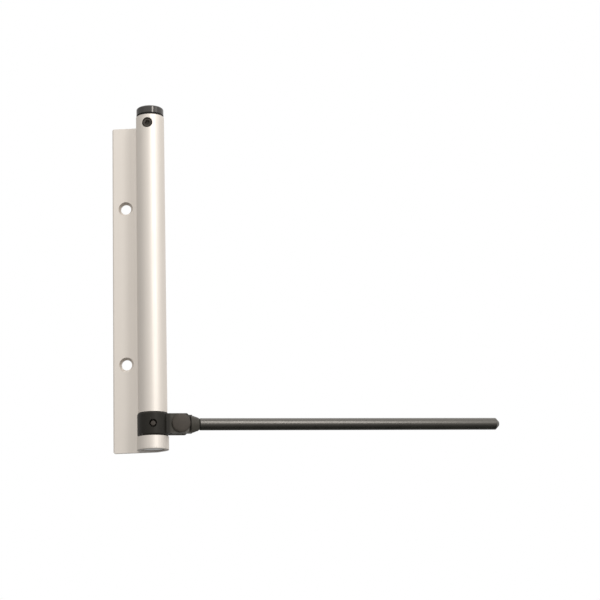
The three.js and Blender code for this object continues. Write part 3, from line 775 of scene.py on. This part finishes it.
def make_arm_hub():
    """The collar with its forked ear."""
    low = HUB_CENTRE - ARM_HEIGHT - HUB_HEIGHT / 2
    high = low + HUB_HEIGHT
    past = (low - BEYOND, high + BEYOND)
    profile = [(0, low), (HUB_RADIUS, low), (HUB_RADIUS, high), (0, high)]
    profile = rounded(profile, HUB_ROUND, steps=6, closed=False)
    made = turned("arm_hub_forging", profile, SIDES_TUBE)
    end_height = FORK_HALF_HEIGHT - FORK_CORNER[1]
    upper = [(0, FORK_HALF_HEIGHT), (FORK_END - FORK_CORNER[0], FORK_HALF_HEIGHT),
             (FORK_END, end_height)]
    ear = rounded(mirrored(upper), FORK_ROUND, only=(1, 2, 3, 4))
    combine(made, slab("ear", ear, -FORK_HALF_WIDTH, FORK_HALF_WIDTH), "UNION")
    slot = box("slot", (FORK_FLOOR, FORK_END + BEYOND), (-SLOT_HALF_WIDTH, SLOT_HALF_WIDTH), past)
    combine(made, slot, "DIFFERENCE")
    combine(made, rod("bore", SPINDLE_RADIUS + GAP, *past, SIDES_HUB_BORE), "DIFFERENCE")
    reach = FORK_HALF_WIDTH + BEYOND
    pivot_hole = rod("pivot_hole", PIVOT_RADIUS + GAP, -reach, reach)
    combine(made, along_y(pivot_hole, PIVOT_X), "DIFFERENCE")
    outside = HUB_RADIUS + BEYOND
    sunk = [(0, -outside), (PIN_RADIUS + PIN_SINK_WIDTH, -outside),
            (PIN_RADIUS + GAP, -HUB_RADIUS + PIN_SINK_DEPTH),
            (PIN_RADIUS + GAP, outside), (0, outside)]
    combine(made, across_hub(turned("pin_hole", sunk, SIDES_HOLE)), "DIFFERENCE")
    bevelled(made, width=0.35, segments=3, angle=38)
    return finish_piece(made, ARM, "arm_carrier", HUB_BLACK, ["arm_hub"])


def make_hub_pin():
    """The cross pin, with domed ends."""
    reach = HUB_RADIUS - 2 * GAP
    centre = PIN_RADIUS - HUB_PIN_DOME
    profile = [(0, -reach)]
    profile += arc((centre, -reach + HUB_PIN_DOME), HUB_PIN_DOME, -math.pi / 2, 0, steps=5)
    profile += arc((centre, reach - HUB_PIN_DOME), HUB_PIN_DOME, 0, math.pi / 2, steps=5)
    profile += [(0, reach)]
    made = across_hub(turned("hub_cross_pin", profile, SIDES_PIN))
    return finish_piece(made, ARM, "arm_carrier", SCREW_BLACK, ["hub_pin"])


def make_pivot_screw():
    """The pivot screw: a wide, slightly crowned head, a plain shank and a threaded end."""
    seat = -FORK_HALF_WIDTH - GAP
    crown = seat - PIVOT_HEAD_HEIGHT
    rim = PIVOT_HEAD_RADIUS
    thread = FORK_HALF_WIDTH + GAP
    profile = [(radius, crown + drop) for radius, drop in PIVOT_CROWN]
    profile += quadratic(*((radius, crown + drop) for radius, drop in PIVOT_SHOULDER), steps=6)
    profile += quadratic((rim, seat - PIVOT_SEAT_ROUND), (rim, seat),
                         (rim - PIVOT_SEAT_ROUND, seat), steps=3)
    profile += [(PIVOT_RADIUS, seat), (PIVOT_RADIUS, thread)]
    while thread < PIVOT_REACH - 2 * THREAD_PITCH:
        profile += [(PIVOT_RADIUS - THREAD_PITCH / 2, thread + THREAD_PITCH / 2),
                    (PIVOT_RADIUS, thread + THREAD_PITCH)]
        thread += THREAD_PITCH
    profile += [(PIVOT_RADIUS - THREAD_PITCH, PIVOT_REACH), (0, PIVOT_REACH)]
    made = along_y(turned("pivot_screw_head", profile, SIDES_HEAD), PIVOT_X)
    return finish_piece(made, ARM, "arm_carrier", SCREW_BLACK, ["pivot_screw"])


def make_pivot_nut():
    """A hexagon nut with chamfered corners and a countersunk hole."""
    low = FORK_HALF_WIDTH + NUT_WASHER_THICKNESS + 2 * GAP
    high = low + NUT_HEIGHT
    made = hex_rod("pivot_hex_nut", NUT_RADIUS, low, high)
    flat = NUT_RADIUS * math.cos(math.pi / SIDES_HEX)
    outside = NUT_RADIUS + NUT_CORNER
    cone = [(0, low), (flat, low), (outside, low + NUT_CHAMFER), (outside, high - NUT_CHAMFER),
            (flat, high), (0, high)]
    combine(made, turned("cone", cone), "INTERSECT")
    bore = PIVOT_RADIUS + GAP
    mouth = bore + NUT_LEAD + BEYOND
    hole = [(0, low - BEYOND), (mouth, low - BEYOND), (bore, low + NUT_LEAD),
            (bore, high - NUT_LEAD), (mouth, high + BEYOND), (0, high + BEYOND)]
    combine(made, turned("hole", hole, SIDES_PIN), "DIFFERENCE")
    bevelled(made, width=0.12, angle=28)
    along_y(made, PIVOT_X)
    return finish_piece(made, ARM, "arm_carrier", SCREW_BLACK, ["pivot_nut"])


def make_washer(name, node, low, thickness, material):
    """A flat washer with rounded edges, round the pivot screw."""
    inner = PIVOT_RADIUS + GAP
    high = low + thickness
    profile = [(inner, low), (WASHER_RADIUS, low), (WASHER_RADIUS, high), (inner, high)]
    made = turned(name, rounded(profile, WASHER_ROUND, steps=3), SIDES_WASHER, closed=True)
    return finish_piece(along_y(made, PIVOT_X), ARM, "arm_carrier", material, [node])


def make_arm_eye():
    """The tongue between the fork's cheeks, its tapered neck and the spigot inside the rod."""
    inner = PIVOT_X - TONGUE_HALF_HEIGHT
    upper = [(inner, TONGUE_STOP), (inner + TONGUE_SLOPE, TONGUE_HALF_HEIGHT),
             (NECK_START + BEYOND, TONGUE_HALF_HEIGHT)]
    made = slab("arm_eye_forging", mirrored(upper), -TONGUE_HALF_WIDTH, TONGUE_HALF_WIDTH)
    cone_end = NECK_END - NECK_CHAMFER
    spigot_end = NECK_END + SPIGOT_LENGTH
    profile = [(0, NECK_START), (NECK_WIDE, NECK_START), (NECK_NARROW, cone_end),
               (NECK_NARROW - NECK_CHAMFER, NECK_END), (SPIGOT_RADIUS, NECK_END),
               (SPIGOT_RADIUS, spigot_end - SPIGOT_CHAMFER),
               (SPIGOT_RADIUS - SPIGOT_CHAMFER, spigot_end), (0, spigot_end)]
    neck = turned("neck", rounded(profile, NECK_ROUND, steps=5, closed=False, only=(1, 2)))
    combine(made, shifted(neck, ALONG_X), "UNION")
    reach = TONGUE_HALF_WIDTH + BEYOND
    combine(made, along_y(rod("hole", PIVOT_RADIUS + GAP, -reach, reach), PIVOT_X), "DIFFERENCE")
    bevelled(made, width=0.2, angle=34)
    return finish_piece(made, ARM, "arm", HUB_BLACK, ["arm_eye"])


def make_arm_rod():
    """The round bar: a drilled end on the spigot and a chamfered free end."""
    start = NECK_END + GAP
    socket = SPIGOT_RADIUS + GAP
    floor = start + SPIGOT_LENGTH + BEYOND
    profile = [
        (0, floor), (socket, floor), (socket, start), (ROD_RADIUS - ROD_START_CHAMFER, start),
        (ROD_RADIUS, start + ROD_START_CHAMFER), (ROD_RADIUS, ROD_END - ROD_CHAMFER),
        (ROD_RADIUS - ROD_CHAMFER, ROD_END), (0, ROD_END),
    ]
    profile = rounded(profile, ROD_ROUND, steps=5, closed=False, only=(3, 4, 5, 6))
    made = shifted(turned("arm_round_bar", profile), ALONG_X)
    return finish_piece(made, ARM, "arm", BAR_BLACK, ["arm_rod"])


# ---- CAD pieces that keep their shape ------------------------------------------------------------

KEPT_EDGE = 0.1

KEPT = {
    "cap_washer": WASHER_BLACK,
    "spring_mandrel": BRIGHT_STEEL,
    "spring_sleeve": NYLON,
    "spindle": BRIGHT_STEEL,
    "spring_collar": BRIGHT_STEEL,
    "collar_pin": BRIGHT_STEEL,
    "upper_bush": BRONZE,
    "lower_bush": BRONZE,
    "upper_thrust_washer": NYLON,
    "lower_thrust_washer": NYLON,
    "retaining_ring": SPRING_STEEL,
    "bottom_plug": CAP_BLACK,
}


def dress_kept_nodes():
    """Gives each CAD node that stays its finish and slightly rounded edges."""
    for name, material in KEPT.items():
        node = frame["nodes"][name]
        node.data.materials.clear()
        node.data.materials.append(material)
        modifier = node.modifiers.new("edges", "BEVEL")
        modifier.width = KEPT_EDGE * MM
        modifier.segments = 2
        modifier.limit_method = "ANGLE"
        modifier.angle_limit = math.radians(40)


# ---- Studio --------------------------------------------------------------------------------------

LENS = 90
SENSOR_WIDTH = 36
YAW = math.radians(2.5)
PITCH = math.radians(13.24)
ROLL = math.radians(-1.877)
FROM_TUBE = Vector((0.1402, -0.9610, -0.2443))
FLOOR_HEIGHT = -0.6
FLOOR_RADIUS = 4000
FLOOR_THICKNESS = 5
LIT_POINT = Vector((0.06, 0, 0))
BRIGHT_SIDE = (80, 0)
AROUND_COLOUR = (1, 0.99, 0.975, 1)
AROUND = ((-1.0, 0.55), (-0.8, 0.6), (-0.36, 0.86), (0.2, 0.92), (1.0, 0.9))
UPWARD = ((-1.0, 0.08), (-0.6, 0.25), (-0.3, 0.5), (-0.05, 0.94), (0.15, 1.0), (1.0, 1.6))


def make_camera():
    """Below the closer and to its right, looking up at it."""
    camera = bpy.data.objects.new("camera", bpy.data.cameras.new("camera"))
    bpy.context.scene.collection.objects.link(camera)
    camera.data.lens = LENS
    camera.data.sensor_width = SENSOR_WIDTH
    turn = (Matrix.Rotation(YAW, 4, "Z") @ Matrix.Rotation(math.pi / 2 + PITCH, 4, "X")
            @ Matrix.Rotation(ROLL, 4, "Z"))
    middle = AXIS + Vector((0, 0, BODY_LENGTH / 2 * MM))
    camera.matrix_world = Matrix.Translation(middle + FROM_TUBE) @ turn
    bpy.context.scene.camera = camera


def make_floor():
    """A pale floor well below the closer, which hangs on its mount."""
    outline = arc((0, 0), FLOOR_RADIUS, 0, 2 * math.pi, SIDES_ROUND)[:-1]
    floor = shifted(extruded("floor", outline, -FLOOR_THICKNESS, 0), Matrix.Scale(MM, 4))
    floor.location.z = FLOOR_HEIGHT
    pale = Finish("pale_floor")
    pale.set({"Roughness": 0.8})
    pale.colour(pale.mix(pale.noise(scale=3), (0.86, 0.86, 0.85), (0.9, 0.9, 0.89)))
    floor.data.materials.append(pale.material)
    floor.visible_glossy = False


def direction(azimuth, elevation):
    """A unit vector out from the closer. Azimuth 0 is in front, 90 to the right."""
    a, e = math.radians(azimuth), math.radians(elevation)
    return Vector((math.sin(a) * math.cos(e), -math.cos(a) * math.cos(e), math.sin(e)))


def make_panel(name, azimuth, elevation, distance, size, radiance):
    """A soft light panel that faces the closer."""
    light = bpy.data.lights.new(name, "AREA")
    light.shape = "RECTANGLE"
    light.size, light.size_y = size
    light.energy = radiance * math.pi * size[0] * size[1]
    panel = bpy.data.objects.new(name, light)
    bpy.context.scene.collection.objects.link(panel)
    towards = direction(azimuth, elevation)
    panel.location = LIT_POINT + towards * distance
    panel.rotation_euler = towards.to_track_quat("Z", "Y").to_euler()
    panel.visible_camera = False


def ramp_over(nodes, links, value, stops):
    """A smooth grey ramp over a value from -1 to 1, from a list of (value, level)."""
    centred, ramp = nodes.new("ShaderNodeMapRange"), nodes.new("ShaderNodeValToRGB")
    centred.inputs["From Min"].default_value = -1
    links.new(value, centred.inputs["Value"])
    links.new(centred.outputs["Result"], ramp.inputs["Fac"])
    elements = ramp.color_ramp.elements
    ramp.color_ramp.interpolation = "EASE"
    while len(elements) < len(stops):
        elements.new(1)
    for element, (at, level) in zip(elements, stops):
        element.position = (at + 1) / 2
        element.color = (level, level, level, 1)
    return ramp.outputs["Color"]


def make_world():
    """White behind the closer. What it reflects is brighter towards the key, and dark below."""
    world = bpy.data.worlds.new("studio")
    bpy.context.scene.world = world
    world.use_nodes = True
    nodes, links = world.node_tree.nodes, world.node_tree.links
    nodes.clear()
    seen, around = nodes.new("ShaderNodeBackground"), nodes.new("ShaderNodeBackground")
    seen.inputs["Color"].default_value = (1, 1, 1, 1)
    around.inputs["Color"].default_value = AROUND_COLOUR
    towards = nodes.new("ShaderNodeTexCoord").outputs["Generated"]
    facing, height = nodes.new("ShaderNodeVectorMath"), nodes.new("ShaderNodeSeparateXYZ")
    facing.operation = "DOT_PRODUCT"
    facing.inputs[1].default_value = direction(*BRIGHT_SIDE)
    links.new(towards, facing.inputs[0])
    links.new(towards, height.inputs[0])
    strength = nodes.new("ShaderNodeMath")
    strength.operation = "MULTIPLY"
    links.new(ramp_over(nodes, links, facing.outputs["Value"], AROUND), strength.inputs[0])
    links.new(ramp_over(nodes, links, height.outputs["Z"], UPWARD), strength.inputs[1])
    links.new(strength.outputs["Value"], around.inputs["Strength"])
    mix, out = nodes.new("ShaderNodeMixShader"), nodes.new("ShaderNodeOutputWorld")
    links.new(nodes.new("ShaderNodeLightPath").outputs["Is Camera Ray"], mix.inputs[0])
    links.new(around.outputs[0], mix.inputs[1])
    links.new(seen.outputs[0], mix.inputs[2])
    links.new(mix.outputs[0], out.inputs[0])
    bpy.context.scene.view_settings.view_transform = "Standard"


# ---- The whole closer ----------------------------------------------------------------------------

make_camera()
make_floor()
make_world()
make_panel("key", azimuth=29, elevation=25, distance=1.5, size=(0.25, 1.0), radiance=7.6)
make_panel("side", azimuth=60, elevation=20, distance=1.6, size=(0.6, 0.7), radiance=0.9)

make_housing()
make_tension_cap()
make_locking_screw()
make_spring()
make_arm_hub()
make_hub_pin()
make_pivot_screw()
make_washer("nut_flat_washer", "nut_washer", FORK_HALF_WIDTH + GAP, NUT_WASHER_THICKNESS,
            SCREW_BLACK)
make_washer("front_tongue_washer", "front_friction_washer", -SLOT_HALF_WIDTH + GAP,
            FRICTION_WASHER_THICKNESS, NYLON)
make_washer("rear_tongue_washer", "rear_friction_washer", TONGUE_HALF_WIDTH + GAP,
            FRICTION_WASHER_THICKNESS, NYLON)
make_pivot_nut()
make_arm_eye()
make_arm_rod()
dress_kept_nodes()

bpy.context.view_layer.update()
